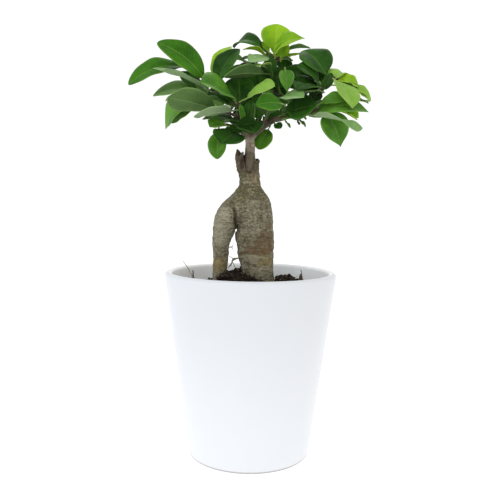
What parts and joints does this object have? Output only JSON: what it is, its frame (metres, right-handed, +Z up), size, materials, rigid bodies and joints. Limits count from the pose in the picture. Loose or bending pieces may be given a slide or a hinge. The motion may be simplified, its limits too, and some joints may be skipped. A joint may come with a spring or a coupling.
{
  "type": "potted ficus ginseng bonsai",
  "caption": "Grafted ginseng ficus with a swollen forked trunk and a leafy crown, growing in soil in a tapered round white ceramic pot.",
  "frame": {"origin": "centre of the flat underside of the pot", "axes": "+Z up along the pot's axis, -Y towards the front that the picture shows, +X to the right seen from the front"},
  "size_m": [0.1785, 0.1416, 0.3255],
  "materials": {
    "glaze": "smooth satin white glaze",
    "soil": "dark crumbly bark and peat, matt",
    "dead_wood": "dry brown dead wood, matt",
    "bark": "grey-olive bark with fine cross wrinkles and rust patches",
    "wood": "smooth grey-brown young bark",
    "leaf_young": "soft yellow-green leaf with a light gloss",
    "leaf_grown": "leathery mid-green leaf, glossy above and matt below",
    "leaf_old": "leathery dark green leaf, glossy above and matt below"
  },
  "bodies": {
    "root": {"pot": "glaze", "soil": "soil", "dry_stub": "dead_wood", "trunk": "bark", "stem": "wood", "leaf_left_a": "leaf_grown", "leaf_left_b": "leaf_grown", "leaf_left_c": "leaf_grown", "leaf_left_d": "leaf_grown", "leaf_left_e": "leaf_grown", "leaf_left_f": "leaf_grown", "leaf_left_g": "leaf_grown", "leaf_left_h": "leaf_old", "leaf_left_i": "leaf_grown", "leaf_left_j": "leaf_grown", "leaf_left_k": "leaf_old", "leaf_left_l": "leaf_old", "leaf_left_m": "leaf_grown", "leaf_left_n": "leaf_old", "leaf_left_o": "leaf_young", "leaf_top_a": "leaf_old", "leaf_top_b": "leaf_young", "leaf_top_c": "leaf_young", "leaf_top_d": "leaf_young", "leaf_mid_a": "leaf_grown", "leaf_top_e": "leaf_grown", "leaf_top_f": "leaf_young", "leaf_top_g": "leaf_grown", "leaf_top_h": "leaf_grown", "leaf_mid_b": "leaf_old", "leaf_mid_c": "leaf_old", "leaf_mid_d": "leaf_young", "leaf_mid_e": "leaf_grown", "leaf_right_a": "leaf_grown", "leaf_right_b": "leaf_old", "leaf_right_c": "leaf_old", "leaf_right_d": "leaf_young", "leaf_right_e": "leaf_young", "leaf_right_f": "leaf_young", "leaf_right_g": "leaf_young", "leaf_right_h": "leaf_old", "leaf_right_i": "leaf_old", "leaf_right_j": "leaf_grown", "leaf_right_k": "leaf_grown", "leaf_right_l": "leaf_grown", "leaf_right_m": "leaf_grown", "leaf_right_n": "leaf_young", "leaf_low_a": "leaf_grown", "leaf_low_b": "leaf_old", "leaf_back_a": "leaf_grown", "leaf_back_b": "leaf_grown", "leaf_back_c": "leaf_old", "leaf_back_d": "leaf_grown", "leaf_back_e": "leaf_old", "leaf_back_f": "leaf_old", "leaf_back_g": "leaf_grown", "leaf_back_h": "leaf_old", "leaf_back_i": "leaf_old", "leaf_back_j": "leaf_grown", "leaf_back_k": "leaf_old"}
  },
  "joints": []
}
